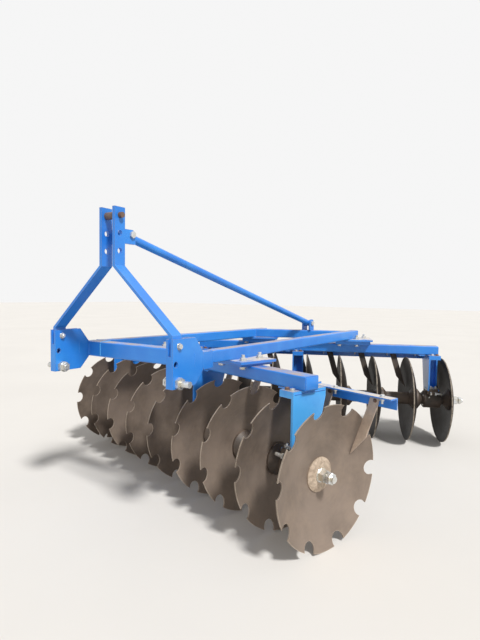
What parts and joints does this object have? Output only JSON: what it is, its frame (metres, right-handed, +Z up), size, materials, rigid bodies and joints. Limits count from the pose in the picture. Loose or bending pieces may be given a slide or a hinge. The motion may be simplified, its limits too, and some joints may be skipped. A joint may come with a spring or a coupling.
{
  "type": "disc harrow",
  "caption": "Three-point mounted offset disc harrow: notched front gang, plain rear gang, box section frame, A-frame mast with brace, scrapers and lower hitch pins.",
  "frame": {"origin": "centre of the machine's bounding box, on the ground under the discs", "axes": "+Z up, -Y towards the tractor, +X to the machine's left when facing forward"},
  "size_m": [2.2736, 2.517, 1.44],
  "materials": {
    "frame_paint": "gloss",
    "front_disc_steel": "satin",
    "rear_disc_steel": "satin",
    "gang_castings": "satin",
    "scraper_steel": "satin",
    "zinc_fittings": "satin",
    "rusty_steel": "matt"
  },
  "bodies": {
    "frame": {"front_cross_beam": "frame_paint", "left_side_beam": "frame_paint", "right_side_beam": "frame_paint", "rear_cross_beam": "frame_paint", "left_hitch_bracket": "frame_paint", "right_hitch_bracket": "frame_paint", "left_hitch_pin": "zinc_fittings", "right_hitch_pin": "zinc_fittings", "left_mast_leg": "frame_paint", "right_mast_leg": "frame_paint", "mast_sleeve": "rusty_steel", "brace_tube": "frame_paint", "brace_bolts": "zinc_fittings", "brace_lug": "frame_paint", "front_gang_beam": "frame_paint", "rear_gang_beam": "frame_paint", "upper_clamp_plates": "frame_paint", "lower_clamp_plates": "frame_paint", "front_hangers": "frame_paint", "rear_hangers": "frame_paint", "front_bearings": "gang_castings", "rear_bearings": "gang_castings", "front_scraper_bar": "frame_paint", "rear_scraper_bar": "frame_paint", "front_scrapers": "scraper_steel", "rear_scrapers": "scraper_steel"},
    "front_gang": {"front_discs": "front_disc_steel", "front_spools": "gang_castings", "front_bearing_spools": "gang_castings", "front_axle": "zinc_fittings", "front_end_washers": "front_disc_steel", "front_axle_nuts": "zinc_fittings"},
    "rear_gang": {"rear_discs": "rear_disc_steel", "rear_spools": "gang_castings", "rear_bearing_spools": "gang_castings", "rear_axle": "zinc_fittings", "rear_end_washers": "rear_disc_steel", "rear_axle_nuts": "zinc_fittings"}
  },
  "joints": [
    {"name": "front_gang_turn", "type": "hinge", "parent": "frame", "child": "front_gang", "pos_m": [-0.0546, -0.61362, 0.305], "axis": [0.9537, -0.3007, 0], "continuous": true},
    {"name": "rear_gang_turn", "type": "hinge", "parent": "frame", "child": "rear_gang", "pos_m": [0.0984, 0.58138, 0.305], "axis": [0.9135, 0.4067, 0], "continuous": true}
  ]
}
